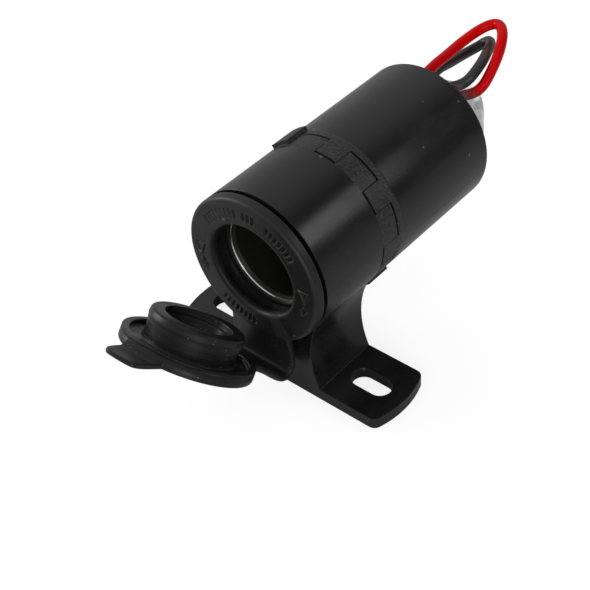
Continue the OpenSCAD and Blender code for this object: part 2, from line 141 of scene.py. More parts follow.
def smooth_route(points, steps):
    """Catmull-Rom curve through the points: on each span, a cubic whose slopes at its ends are half
    the difference of the neighbours. It is cut into even lengths and averaged over a short window,
    which opens the tight bends. Both ends stay in place."""
    ring_pitch, window, reach = 0.35, np.hanning(17)[1:-1], 7
    p = np.vstack([points[:1], points, points[-1:]])
    a, b, c, d = (p[i:len(p) - 3 + i, None, :] for i in range(4))
    t = (np.arange(steps) / steps)[None, :, None]
    curve = 0.5 * (2 * b + (c - a) * t + (2 * a - 5 * b + 4 * c - d) * t ** 2
                   + (3 * b - 3 * c + d - a) * t ** 3)
    curve = np.vstack([curve.reshape(-1, 3), points[-1:]])
    s = distances_along(curve)
    line = sample(np.linspace(0, s[-1], int(s[-1] / ring_pitch)), s, curve)
    return rolling_mean(np.concatenate([2 * line[0] - line[reach:0:-1], line,
                                        2 * line[-1] - line[-2:-2 - reach:-1]]), window)


def rounded_loop(corners, radii, steps):
    """A closed outline with a round at each corner: a quadratic curve from a point on one side,
    with the corner as its control point, to a point on the other side."""
    corners, reach = np.array(corners, float), np.array(radii, float)[:, None]
    before, after = np.roll(corners, 1, 0) - corners, np.roll(corners, -1, 0) - corners
    first, last = (corners + unit_rows(side) * reach for side in (before, after))
    t = np.linspace(0, 1, steps)[None, :, None]
    curve = ((1 - t) ** 2 * first[:, None] + 2 * t * (1 - t) * corners[:, None]
             + t ** 2 * last[:, None])
    return curve.reshape(-1, 2)


def quarter(centre, radius, start, end, steps):
    """Points of an arc: centre plus radius times cosine and sine of angles in degrees."""
    a = np.radians(np.linspace(start, end, steps))
    return np.stack([centre[0] + radius * np.cos(a), centre[1] + radius * np.sin(a)], -1)


# Meshes

def grid_faces(rows, columns, ring):
    """Four-sided faces between each column and the next, which wrap, and between each row and the
    next, which wrap in a ring."""
    i = np.arange(rows if ring else rows - 1)[:, None]
    j = np.arange(columns)[None, :]
    down, right = (i + 1) % rows, (j + 1) % columns
    return np.stack([i * columns + j, i * columns + right, down * columns + right,
                     down * columns + j], -1).reshape(-1, 4).tolist()


def end_faces(rows, columns):
    """The two many-sided faces that close a grid's first and last rows."""
    return [list(range(columns))[::-1], list(range((rows - 1) * columns, rows * columns))]


def put_mesh(name, points, faces):
    """Makes a smooth mesh object, turned inside out if its volume comes out negative."""
    mesh = bpy.data.meshes.new(name)
    mesh.from_pydata(points.reshape(-1, 3).tolist(), [], faces)
    work = bmesh.new()
    work.from_mesh(mesh)
    if work.calc_volume(signed=True) < 0:
        bmesh.ops.reverse_faces(work, faces=work.faces)
    work.to_mesh(mesh)
    work.free()
    mesh.shade_smooth()
    obj = bpy.data.objects.new(name, mesh)
    bpy.context.scene.collection.objects.link(obj)
    return obj


def put_surface(name, points, ring=False):
    """Makes an object of a grid of points. Unless it is a ring, its first and last rows are closed
    with a face each."""
    rows, columns = points.shape[:2]
    faces = grid_faces(rows, columns, ring)
    return put_mesh(name, points, faces if ring else faces + end_faces(rows, columns))


def put_tube(name, line, radius, sides):
    """A round tube: each point of the line plus radius times (cos a, sin a) in the plane across the
    line, whose first direction is level."""
    along = unit_rows(np.gradient(line, axis=0))
    level = unit_rows(np.cross(along, [0.0, 0.0, 1.0]))
    lift = np.cross(level, along)
    a = full_turn(sides)[None, :, None]
    across = np.cos(a) * level[:, None] + np.sin(a) * lift[:, None]
    return put_surface(name, line[:, None] + radius * across)


def finish_piece(obj, body, material, nodes):
    """Gives a new piece its material and its body, and hides the CAD nodes that it replaces."""
    obj.data.materials.append(material)
    if body:
        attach(obj, body)
    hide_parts(*nodes)
    return obj


def dress_node(node, material):
    """Puts a material on every slot of a CAD node's object."""
    for slot in frame["nodes"][node].material_slots:
        slot.material = material


# Shader nodes

def fill(tree, socket, value):
    """Links an input to another node's output, or gives it a value of its own."""
    if isinstance(value, bpy.types.NodeSocket):
        tree.links.new(value, socket)
    else:
        socket.default_value = value


def fill_inputs(tree, node, **sockets):
    """Fills a node's inputs, with an underscore for a space in the input's name and i0, i1 for
    inputs known by place."""
    for key, value in sockets.items():
        place = int(key[1:]) if key[0] == "i" and key[1:].isdigit() else key.replace("_", " ")
        fill(tree, node.inputs[place], value)


def add_node(tree, kind, settings=None, **sockets):
    """Adds a node: settings are its own values, and sockets are values or links for its inputs."""
    node = tree.nodes.new(kind)
    for key, value in (settings or {}).items():
        setattr(node, key, value)
    fill_inputs(tree, node, **sockets)
    return node


def noise(tree, place, scale, detail, roughness=0.5):
    """A noise texture's value at a place."""
    return add_node(tree, "ShaderNodeTexNoise", Vector=place, Scale=scale, Detail=detail,
                    Roughness=roughness).outputs["Fac"]


def mapped(tree, place, **change):
    """A place after a scale or a rotation."""
    return add_node(tree, "ShaderNodeMapping", Vector=place, **change).outputs[0]


def math_node(tree, operation, first, second=0.0):
    """One arithmetic node's result."""
    return add_node(tree, "ShaderNodeMath", {"operation": operation}, i0=first,
                    i1=second).outputs[0]


def add_share(tree, value, other, share):
    """A value plus a share of another."""
    return math_node(tree, "ADD", value, math_node(tree, "MULTIPLY", other, share))


def tint(colour, factor=1.0):
    """A colour times a factor, with its alpha at 1."""
    return (*[c * factor for c in colour], 1.0)


def spread(tree, value, low, high, to_low=0.0, to_high=1.0):
    """Maps a value from one range to another, smoothly and held at the ends."""
    node = add_node(tree, "ShaderNodeMapRange", {"interpolation_type": "SMOOTHSTEP"},
                    Value=value, From_Min=low, From_Max=high, To_Min=to_low, To_Max=to_high)
    return node.outputs["Result"]


def mix_colours(tree, mask, first, second):
    """First colour where the mask is 0, second where it is 1."""
    node = add_node(tree, "ShaderNodeMix", {"data_type": "RGBA"})
    for place, value in (("Factor_Float", mask), ("A_Color", first), ("B_Color", second)):
        fill(tree, next(s for s in node.inputs if s.identifier == place), value)
    return next(s for s in node.outputs if s.identifier == "Result_Color")


def new_group(name, inputs, outputs):
    """An empty shader node group with named sockets, what it is given and its last node. Place is
    a vector, and the others are numbers."""
    tree = bpy.data.node_groups.new(name, "ShaderNodeTree")
    for direction, names in (("INPUT", inputs), ("OUTPUT", outputs)):
        for item in names.split():
            kind = "NodeSocketVector" if item == "Place" else "NodeSocketFloat"
            tree.interface.new_socket(name=item, in_out=direction, socket_type=kind)
    return tree, tree.nodes.new("NodeGroupInput").outputs, tree.nodes.new("NodeGroupOutput")


def make_grain_group():
    """Moulding grain: fine noise over a coarser one, as a height and a shade from 0 to 1."""
    tree, given, result = new_group("moulding_grain", "Place Scale Depth", "Height Shade")
    fine = noise(tree, given["Place"], given["Scale"], 3.0, 0.6)
    broad = noise(tree, given["Place"], math_node(tree, "MULTIPLY", given["Scale"], 0.23), 2.0)
    both = add_share(tree, math_node(tree, "MULTIPLY", fine, 0.7), broad, 0.3)
    fill_inputs(tree, result, Height=math_node(tree, "MULTIPLY", both, given["Depth"]),
                Shade=spread(tree, both, 0.35, 0.65))
    return tree


def make_spark_group():
    """Spark-eroded texture: round pits from cell distances, broken by noise, inside a mask."""
    tree, given, result = new_group("spark_texture", "Place Scale Mask", "Height Shade")
    soft = noise(tree, given["Place"], given["Scale"], 2.0)
    cells = add_node(tree, "ShaderNodeTexVoronoi", {"feature": "SMOOTH_F1"}, Vector=given["Place"],
                     Scale=given["Scale"]).outputs["Distance"]
    rough = math_node(tree, "MULTIPLY", math_node(tree, "ADD", cells, soft), 0.6)
    shade = spread(tree, rough, 0.4, 0.75)
    fill_inputs(tree, result, Height=math_node(tree, "MULTIPLY", rough, given["Mask"]),
                Shade=math_node(tree, "MULTIPLY", shade, given["Mask"]))
    return tree


def make_dust_group():
    """Sparse pale specks: small round spots in the middle of a few random cells."""
    tree, given, result = new_group("dust_specks", "Place Scale Share", "Mask")
    cells = add_node(tree, "ShaderNodeTexVoronoi", Vector=given["Place"], Scale=given["Scale"])
    pick = add_node(tree, "ShaderNodeSeparateColor", Color=cells.outputs["Color"]).outputs[0]
    chosen = math_node(tree, "LESS_THAN", pick, given["Share"])
    spot = spread(tree, cells.outputs["Distance"], 0.1, 0.22, 1.0, 0.0)
    fill_inputs(tree, result, Mask=math_node(tree, "MULTIPLY", chosen, spot))
    return tree


def make_rub_group():
    """Handling wear: wide soft patches from 0 to 1, drawn out a little along the barrel."""
    tree, given, result = new_group("handling_rub", "Place Scale", "Mask")
    patches = noise(tree, mapped(tree, given["Place"], Scale=(1.0, 0.35, 1.0)), given["Scale"],
                    4.0, 0.65)
    fill_inputs(tree, result, Mask=spread(tree, patches, 0.35, 0.7))
    return tree


def make_turning_group():
    """Tool marks of a turned piece: noise that changes fast along Y and slowly round it."""
    tree, given, result = new_group("turning_marks", "Place Scale", "Height Shade")
    marks = noise(tree, mapped(tree, given["Place"], Scale=(0.04, 1.0, 0.04)), given["Scale"],
                  4.0, 0.7)
    fill_inputs(tree, result, Height=marks, Shade=spread(tree, marks, 0.3, 0.7))
    return tree


GROUP_MAKERS = {"moulding_grain": make_grain_group, "spark_texture": make_spark_group,
                "dust_specks": make_dust_group, "handling_rub": make_rub_group,
                "turning_marks": make_turning_group}


def group_node(tree, name, **sockets):
    """Places a shared node group, which is built the first time that it is asked for."""
    made = bpy.data.node_groups.get(name) or GROUP_MAKERS[name]()
    return add_node(tree, "ShaderNodeGroup", {"node_tree": made}, **sockets).outputs


def new_material(name):
    """A material with its tree, its Principled shader and the object's own coordinates."""
    material = bpy.data.materials.new(name)
    material.use_nodes = True
    tree = material.node_tree
    shader = tree.nodes["Principled BSDF"]
    place = tree.nodes.new("ShaderNodeTexCoord").outputs["Object"]
    return material, tree, shader, place


def bump(tree, shader, height, distance, round_edge=0.0):
    """Joins a height to the shader's normal. A round edge first softens the corners' normals."""
    node = add_node(tree, "ShaderNodeBump", Height=height, Distance=distance, Strength=1.0)
    if round_edge:
        edge = add_node(tree, "ShaderNodeBevel", {"samples": 6}, Radius=round_edge)
        fill_inputs(tree, node, Normal=edge.outputs[0])
    fill_inputs(tree, shader, Normal=node.outputs[0])


def along_barrel_mask(tree, place, start, end, soft=0.25):
    """One between two distances behind the barrel's front edge, in mm, from the Y coordinate."""
    y = add_node(tree, "ShaderNodeSeparateXYZ", Vector=place).outputs[1]
    behind = math_node(tree, "DIVIDE", math_node(tree, "SUBTRACT", y, FRONT_Y), MM)
    return math_node(tree, "MULTIPLY", spread(tree, behind, start - soft, start + soft),
                     spread(tree, behind, end - soft, end + soft, 1.0, 0.0))


def turn_mask(tree, place, turn, inner, outer):
    """One within an angle of a turn round the barrel's axis, falling to zero at a larger angle.
    The turn is counted from the top, and all three are in degrees."""
    parts = add_node(tree, "ShaderNodeSeparateXYZ", Vector=place)
    z = math_node(tree, "SUBTRACT", parts.outputs[2], AXIS_Z)
    angle = math_node(tree, "ARCTAN2", parts.outputs[0], z)
    off = math_node(tree, "ABSOLUTE", math_node(tree, "SUBTRACT", angle, math.radians(turn)))
    return spread(tree, off, math.radians(inner), math.radians(outer), 1.0, 0.0)


def moulded_material(name, look, colour, roughness, grain_depth, band=None, line=None,
                     patch=None, specks=(460.0, 0.03), shine=0.5, streaks=False):
    """Black moulded plastic or rubber: a base colour with rubbed patches and dust, grain as bump.
    A shell can have a spark-eroded band at the joint and a parting line at a turn, and the bezel
    a patch of that texture at a turn. Specks are their cells in a metre and the share that is
    full. Streaks run round the open cap's axis."""
    unrubbed, rubbed, patch_tint, streak_tint = 0.8, 1.3, 1.6, 3.0
    line_half_turn, line_depth, pit_depth, pit_roughness, streak_gloss = 0.9, -2.5, 2.2, 0.2, -0.15
    material, tree, shader, place = new_material(name)
    rub = group_node(tree, "handling_rub", Place=place, Scale=90.0)["Mask"]
    grain = group_node(tree, "moulding_grain", Place=place, Scale=look.grain_scale,
                       Depth=grain_depth)
    dust = group_node(tree, "dust_specks", Place=place, Scale=specks[0], Share=specks[1])["Mask"]
    tone = mix_colours(tree, rub, tint(colour, unrubbed), tint(colour, rubbed))
    rough = spread(tree, rub, 0.0, 1.0, roughness - 0.04, roughness + 0.06)
    height = grain["Height"]
    if band or patch:
        mask = along_barrel_mask(tree, place, *band) if band else turn_mask(tree, place, *patch)
        spark = group_node(tree, "spark_texture", Place=place, Scale=look.spark_scale, Mask=mask)
        height = add_share(tree, height, spark["Height"], pit_depth)
        pale = tint(look.spark_colour) if band else tint(colour, patch_tint)
        tone = mix_colours(tree, spark["Shade"], tone, pale)
        rough = add_share(tree, rough, mask, pit_roughness)
    if line:
        mark = turn_mask(tree, place, line, 0.0, line_half_turn)
        tone = mix_colours(tree, mark, tone, (0.001, 0.001, 0.001, 1.0))
        height = add_share(tree, height, mark, line_depth)
    if streaks:
        turned = mapped(tree, place, Rotation=(-OPEN_ANGLE, 0, 0))
        marks = group_node(tree, "turning_marks", Place=turned, Scale=2400.0)
        tone = mix_colours(tree, marks["Shade"], tone, tint(colour, streak_tint))
        rough = add_share(tree, rough, marks["Shade"], streak_gloss)
        height = math_node(tree, "ADD", height, marks["Height"])
    tone = mix_colours(tree, dust, tone, tint(look.dust_colour))
    fill_inputs(tree, shader, Base_Color=tone, Roughness=rough, Specular_IOR_Level=shine, IOR=1.5)
    bump(tree, shader, height, look.grain_height, look.edge_round)
    return material


def metal_material(name, colour, roughness, mark_scale=9000.0, dark=0.6):
    """Sheet or turned metal: tool marks in colour, roughness and bump."""
    material, tree, shader, place = new_material(name)
    marks = group_node(tree, "turning_marks", Place=place, Scale=mark_scale)
    tarnish = group_node(tree, "handling_rub", Place=place, Scale=260.0)["Mask"]
    tone = mix_colours(tree, marks["Shade"], tint(colour, 0.85), tint(colour))
    tone = mix_colours(tree, math_node(tree, "MULTIPLY", tarnish, 0.5), tone, tint(colour, dark))
    rough = spread(tree, tarnish, 0.0, 1.0, roughness, roughness + 0.15)
    fill_inputs(tree, shader, Base_Color=tone, Roughness=rough, Metallic=1.0)
    bump(tree, shader, marks["Height"], 0.000006, 0.0001)
    return material


def sleeve_material(looks):
    """Plated steel sleeve: bright where the plating is polished on the rim's edge, and painted
    shade inside, a dark colour that is not metal, with turning marks."""
    material, tree, shader, place = new_material("sleeve_steel")
    marks = group_node(tree, "turning_marks", Place=place, Scale=7000.0)
    edge = along_barrel_mask(tree, place, -1.0, looks.sleeve_edge, 0.08)
    # Painted shade: behind the rim the sleeve gets dark colours that are not metal, in place of the
    # shadow deep in its bore.
    dark, light, plating = (0.011, 0.011, 0.009), (0.017, 0.017, 0.013), (0.92, 0.91, 0.88)
    painted_shade_inside = mix_colours(tree, marks["Shade"], tint(dark), tint(light))
    tone = mix_colours(tree, edge, painted_shade_inside, tint(plating))
    rough = spread(tree, edge, 0.0, 1.0, 0.5, 0.16)
    fill_inputs(tree, shader, Base_Color=tone, Roughness=rough, Metallic=edge)
    bump(tree, shader, marks["Height"], 0.000004)
    return material


def fibre_material():
    """Pressed brown fibre board: mottled, with short fibres as stretched noise."""
    material, tree, shader, place = new_material("fibre_board")
    fibres = noise(tree, mapped(tree, place, Scale=(1.0, 0.2, 0.25)), 5000.0, 4.0)
    tone = mix_colours(tree, spread(tree, fibres, 0.35, 0.65), (0.13, 0.055, 0.028, 1.0),
                       (0.27, 0.13, 0.07, 1.0))
    fill_inputs(tree, shader, Base_Color=tone, Roughness=0.75)
    bump(tree, shader, fibres, 0.00002)
    return material


def cable_material(name, colour, shade, roughness, shine):
    """Smooth cable insulation: slow change of tone along it and a faint extrusion ripple."""
    material, tree, shader, place = new_material(name)
    ripple = noise(tree, place, 900.0, 3.0)
    rub = group_node(tree, "handling_rub", Place=place, Scale=160.0)["Mask"]
    tone = mix_colours(tree, rub, tint(colour), tint(shade))
    rough = spread(tree, rub, 0.0, 1.0, roughness, roughness + 0.12)
    fill_inputs(tree, shader, Base_Color=tone, Roughness=rough, Specular_IOR_Level=shine)
    bump(tree, shader, ripple, 0.00002)
    return material


def clear_material(name, colour, cover, roughness, thin=None):
    """Soft clear plastic: see-through by its alpha, cloudier where it is rubbed. A thin place is
    clearer, and is given by its middle and the distances where it ends and cloudiness is full."""
    material, tree, shader, place = new_material(name)
    rub = group_node(tree, "handling_rub", Place=place, Scale=180.0)["Mask"]
    tone = mix_colours(tree, rub, tint(colour), tint(colour, 0.75))
    alpha = spread(tree, rub, 0.0, 1.0, cover - 0.08, cover + 0.12)
    if thin:
        away = add_node(tree, "ShaderNodeVectorMath", {"operation": "DISTANCE"}, i0=place,
                        i1=tuple(thin[0])).outputs["Value"]
        alpha = math_node(tree, "MULTIPLY", alpha, spread(tree, away, *thin[1:], 0.3, 1.0))
    fill_inputs(tree, shader, Base_Color=tone, Alpha=alpha, Roughness=roughness,
                Specular_IOR_Level=0.6)
    bump(tree, shader, rub, 0.00006)
    return material


# Sizes and colours

def size_mm(name, description, default):
    """A size or place in millimetres."""
    return FloatProperty(name=name, description=description + ", in mm", default=default)


def colour_of(name, description, default):
    """A colour."""
    return FloatVectorProperty(name=name, description=description, subtype="COLOR", size=3,
                               default=default)


def share_of(name, description, default, low=0.0):
    """A share between a low value and one."""
    return FloatProperty(name=name, description=description, default=default, min=low, max=1.0,
                         subtype="FACTOR")


class BarrelLooks(bpy.types.PropertyGroup):
    """Finish of the moulded plastic and rubber."""
    plastic: colour_of("Plastic", "Colour of the barrel and its bracket", (0.008, 0.0078, 0.008))
    rubber: colour_of("Rubber", "Colour of the bezel and the cap", (0.0075, 0.0072, 0.0074))
    roughness: share_of("Roughness", "Roughness of the plastic's smooth faces", 0.27, 0.05)
    rubber_roughness: share_of("Rubber roughness", "Roughness of the rubber", 0.46, 0.05)
    grain_scale: FloatProperty(name="Grain", description="Grains of the moulding in a metre",
                               default=5200.0)
    grain_height: FloatProperty(name="Grain height", description="Height of a full bump",
                                default=0.00004, unit="LENGTH")
    spark_scale: FloatProperty(name="Joint texture", default=2300.0,
                               description="Pits of the joint's texture in a metre")
    spark_colour: colour_of("Joint tone", "Pale tone between the joint's pits",
                            (0.036, 0.036, 0.037))
    dust_colour: colour_of("Dust", "Colour of the dust specks", (0.11, 0.11, 0.107))
    edge_round: FloatProperty(name="Edge round", description="Radius by which edges are softened",
                              default=0.0003, unit="LENGTH")
    # Behind the bright rim, the sleeve's inside is painted shade.
    sleeve_edge: size_mm("Bright edge", "End of the sleeve's bright rim behind the front edge",
                         2.42)
    parting_turn: FloatProperty(name="Parting line", default=99.5, description="Its angle round "
                                "the rear shell, in degrees from the top")


class BezelSizes(bpy.types.PropertyGroup):
    """Sizes of the bezel ring."""
    lip_r: size_mm("Lip radius", "Inside radius of the lip", 11.2)
    face: size_mm("Face", "How far the face stands in front of the barrel", 3.5)
    gap: size_mm("Gap", "Gap between the bezel and the barrel", 1.0)
    mouth_round: size_mm("Mouth round", "Radius of the mouth's edge", 1.2)
    edge_round: size_mm("Edge round", "Radius of the outer edge", 1.1)
    tick_pitch: FloatProperty(name="Tick pitch", default=5.0,
                              description="Angle from tick to tick, in degrees")
    tick_depth: size_mm("Tick depth", "Depth of the ticks and arrows", 0.4)
    turns: IntProperty(name="Turns", description="Number of steps round the ring", default=720,
                       min=48)


class CapSizes(bpy.types.PropertyGroup):
    """Sizes of the cap and its strap, in the cap's closed place."""
    disc_r: size_mm("Disc radius", "Radius of the disc", 14.7)
    disc_t: size_mm("Disc thickness", "Thickness of the disc", 3.0)
    rim_y: size_mm("Rim place", "Place of the rim behind the barrel's front edge", -3.7)
    plug_r: size_mm("Plug radius", "Radius of the hollow plug", 10.3)
    plug_h: size_mm("Plug height", "Height of the plug over the rim", 5.6)
    plug_t: size_mm("Plug wall", "Wall of the plug", 3.1)
    tongue_r: size_mm("Tongue reach", "Reach of the tongue from the centre", 22.3)
    tongue_w: size_mm("Tongue width", "Width of the tongue", 9.4)
    tongue_t: size_mm("Tongue thickness", "Thickness at the tongue's tip", 1.1)
    root_t: size_mm("Root thickness", "Thickness at the tongue's root", 2.65)
    strap_w: size_mm("Strap width", "Width of the strap", 16.0)
    strap_t: size_mm("Strap thickness", "Thickness of the strap", 1.9)


class LeadSizes(bpy.types.PropertyGroup):
    """Sizes and colours of the leads and the film round them."""
    diameter: FloatProperty(name="Diameter", description="Diameter over the insulation",
                            default=0.0026, unit="LENGTH")
    sides: IntProperty(name="Sides", description="Sides of each lead's tube", default=28, min=8)
    steps: IntProperty(name="Steps", description="Steps on each span of a route", default=12,
                       min=2)
    red: colour_of("Red", "Colour of the red lead", (0.74, 0.0, 0.002))
    black: colour_of("Black", "Colour of the black lead", (0.018, 0.019, 0.02))
    film: colour_of("Film", "Colour of the clear film", (0.045, 0.047, 0.049))
    film_cover: share_of("Film cover", "How much the film hides", 0.42)


class StageLooks(bpy.types.PropertyGroup):
    """Camera, floor and light."""
    camera_place: FloatVectorProperty(name="Camera", description="Place of the camera", size=3,
                                      subtype="TRANSLATION",
                                      default=(0.139097, -0.146945, 0.202192))
    camera_turn: FloatVectorProperty(name="Turn", description="Turn of the camera about X, Y and "
                                     "Z, in degrees", size=3, default=(47.5737, 3.6015, 40.1687))
    lens: FloatProperty(name="Lens", description="Focal length on a 36 mm wide sensor",
                        default=73.69)
    room_light: share_of("Room light", "Strength of the room's even light", 0.5)
    dark_side: share_of("Dark side", "Strength of the room behind the window box", 0.13)
    floor_tone: share_of("Floor", "Tone of the floor as it lights the object", 0.68)
    floor_seen: share_of("Seen floor", "Tone of the floor's shadow as the camera sees it", 0.34)
    floor_glow: share_of("Floor glow", "Light that turns the seen floor white", 0.82)


# Pieces

def make_bezel_surface(sizes):
    """Ring surface: for each turn a and station s of a rounded profile, the point
    (r(s) sin a, y(s) + depth(r, a), r(s) cos a). The depth is the largest of soft boxes for the
    ticks and of the outlines of two arrows."""
    face, rear = -sizes.face, -sizes.gap
    spigot_r, spigot_bore, spigot_end, lip_back = 15.85, 12.6, 1.95, -1.2
    face_pitch, back_pitch = 0.12, 1.0
    corners = [(sizes.lip_r, face), (BARREL_R, face), (BARREL_R, rear), (spigot_r, rear),
               (spigot_r, spigot_end), (spigot_bore, spigot_end), (spigot_bore, lip_back),
               (sizes.lip_r, lip_back - 0.4)]
    radii = [sizes.mouth_round, sizes.edge_round, 0.2, 0.15, 0.15, 0.15, 0.15, 0.15]
    loop = rounded_loop(corners, radii, 8)
    closed = np.vstack([loop, loop[:1]])
    s = distances_along(closed)
    on_face = s[np.abs(closed[:, 1] - face) < 1e-6]
    stations = np.unique(np.concatenate([s, np.arange(on_face.min(), on_face.max(), face_pitch),
                                         np.arange(0, s[-1], back_pitch)]))[:-1]
    stations = stations[np.concatenate([[True], np.diff(stations) > 1e-4])]
    r, y = sample(stations, s, closed).T[:, None, :]
    turn = np.linspace(0, 360, sizes.turns, endpoint=False)[:, None]
    depth = bezel_marks(sizes, r, turn) * inside_band(y - face, 0.02, 0.02)
    a = np.radians(turn)
    return row_points(r * np.sin(a), y + depth, r * np.cos(a))


def bezel_marks(sizes, r, turn):
    """Depth of the marks at a radius and turn: four stretches of ticks, and on each side a
    triangle's outline and an arrow. A triangle is where the largest of three half-plane distances
    is under 0."""
    tick_middle_r, tick_half, tick_half_width, soft = 14.4, 1.1, 0.27, 0.16
    tick_rows = ((-32.5, 22.5), (2.5, 7.5), (37.5, 17.5), (-160, 20))
    signed = (turn + 180) % 360 - 180
    step = signed % sizes.tick_pitch - sizes.tick_pitch / 2
    ticks = (inside_band(r * np.radians(step), tick_half_width, soft)
             * inside_band(r - tick_middle_r, tick_half, soft))
    rows = sum(inside_band(signed - middle, half, 0.1) for middle, half in tick_rows)
    marks = ticks * rows
    mark_r, line_half = 14.6, 0.2
    for middle, way in ((90, 1), (-93, -1)):
        across = r - mark_r
        along = r * np.radians((signed - middle + 180) % 360 - 180) * way
        edge = triangle_distance(along, across, 0.0, 1.9, 1.6)
        head = triangle_distance(along, across, 4.6, 1.0, 1.0)
        shaft = inside_band(along - 3.2, 1.0, soft) * inside_band(across, 0.25, soft)
        marks = np.maximum.reduce([marks, inside_band(edge + line_half, line_half, soft),
                                   smooth_step(0.5 - head / soft), shaft])
    return marks * sizes.tick_depth


def triangle_distance(along, across, middle, half_length, half_width):
    """Distance from a triangle that points along: the largest of those to its three sides."""
    slope = math.hypot(2 * half_length, half_width)
    place = along - middle
    flank = (np.abs(across) * 2 * half_length + (place - half_length) * half_width) / slope
    return np.maximum(flank, -half_length - place)


def tongue_outline(sizes, turn):
    """Radius of the disc's lower edge at a turn from the top. Beside the tongue it is the disc's
    own radius. On the tongue it is the smaller of the tongue's reach and half its width over the
    sine, and both joins are softened with high powers."""
    corner_power, root_power, tongue_shift = 8, 110, 0.65
    off = np.radians(turn - math.degrees(math.asin(tongue_shift / sizes.tongue_r)))
    sine, ahead = np.abs(np.sin(off)), np.cos(off) > 0
    side = np.maximum(sine, 1e-3) / (sizes.tongue_w / 2)
    tongue = (sizes.tongue_r ** -corner_power + side ** corner_power) ** (-1 / corner_power)
    tongue = np.where(ahead, tongue, 0.0)
    return (sizes.disc_r ** root_power + tongue ** root_power) ** (1 / root_power)


def make_cap_surface(sizes):
    """Closed surface in turn and station. Stations run over the outer face to the edge R(turn),
    round it, back over the tongue on a rising curve, up the rim, down into the groove, over the
    hollow plug and to the middle of its cup. The result is turned about the hinge line to the
    open place."""
    rim, outer = sizes.rim_y, sizes.rim_y - sizes.disc_t
    tip, cup_r = rim + sizes.plug_h, sizes.plug_r - sizes.plug_t
    low_round, top_round, root_r = 0.7, 0.35, sizes.disc_r - 0.05
    rim_round, land, groove_w, groove_depth = 0.2, 1.35, 0.65, 1.0
    groove_round, foot_round, tip_round, cup_round = 0.3, 0.4, 0.75, 0.35
    bead, taper, ledge_depth, ledge_w, floor_t = 0.12, 0.25, 1.4, 0.9, 1.4
    tongue_start, tongue_soft, ramp_end, ramp_length, step_in = 0.2, 0.8, 2.6, 2.1, 0.12
    groove = rim - groove_depth
    tip_top, root_top = outer + sizes.tongue_t, outer + sizes.root_t
    edge = tongue_outline(sizes, np.linspace(0, 360, 480, endpoint=False))[None, :]
    ones = np.ones_like(edge)
    parts = []

    def station(*places):
        for piece in places:
            points = np.atleast_2d(piece)
            parts.append((points[:, :1] * ones, points[:, 1:] * ones))

    share = np.linspace(0.02, 1, 26)[:, None]
    parts.append((share * (edge - low_round), outer * np.ones_like(share) * ones))
    low = quarter((0, outer + low_round), low_round, -90, 0, 9)[1:]
    parts.append((edge - low_round + low[:, :1], low[:, 1:] * ones))
    top = quarter((0, tip_top - top_round), top_round, 0, 90, 7)
    tongue = smooth_step((edge - sizes.disc_r - tongue_start) / tongue_soft)
    parts.append((edge + tongue * (top[:, :1] - top_round), top[:, 1:] * ones))
    back = np.linspace(0, 1, 26)[1:, None]
    back_r = (edge - tongue * top_round) * (1 - back) + root_r * back
    rise = np.clip((sizes.disc_r + ramp_end - back_r) / ramp_length, 0, 1) ** 2
    parts.append((back_r, tip_top + (root_top - tip_top) * np.where(back < 1, rise, 1)))
    station([[root_r - step_in, root_top + 0.02], [root_r - step_in, root_top + 0.1]],
            quarter((sizes.disc_r - rim_round, rim - rim_round), rim_round, 0, 90, 6),
            quarter((sizes.disc_r - land, rim - groove_round), groove_round, 90, 170, 5),
            quarter((sizes.disc_r - land - groove_w, groove + groove_round), groove_round,
                    -10, -90, 5),
            quarter((sizes.plug_r + 0.25, groove + foot_round), foot_round, -90, -180, 6))
    wall = np.linspace(rim - 0.3, tip - 0.8, 22)
    swell = (bead * np.exp(-((wall - tip + 1.5) / 0.5) ** 2)
             - taper * smooth_step((tip - 1 - wall) / 4))
    station(np.stack([sizes.plug_r + swell, wall], -1),
            quarter((sizes.plug_r - tip_round, tip - tip_round), tip_round, 5, 90, 9),
            quarter((cup_r + cup_round, tip - cup_round), cup_round, 90, 180, 6))
    ledge, floor = tip - ledge_depth, outer + floor_t
    station([[cup_r, ledge + 0.25], [cup_r - 0.1, ledge + 0.05], [cup_r - 0.25, ledge]],
            [[cup_r - ledge_w + 0.1, ledge], [cup_r - ledge_w, ledge - 0.1]],
            [[cup_r - ledge_w, floor + 0.4], [cup_r - ledge_w - 0.4, floor], [0.4, floor]])
    r, y = (np.vstack([p[k] for p in parts]) for k in (0, 1))
    a = full_turn(edge.shape[1])[None, :]
    x, z = r * np.sin(a), r * np.cos(a)
    y, z = swing(y, z, OPEN_ANGLE)
    return row_points(x, y, z)


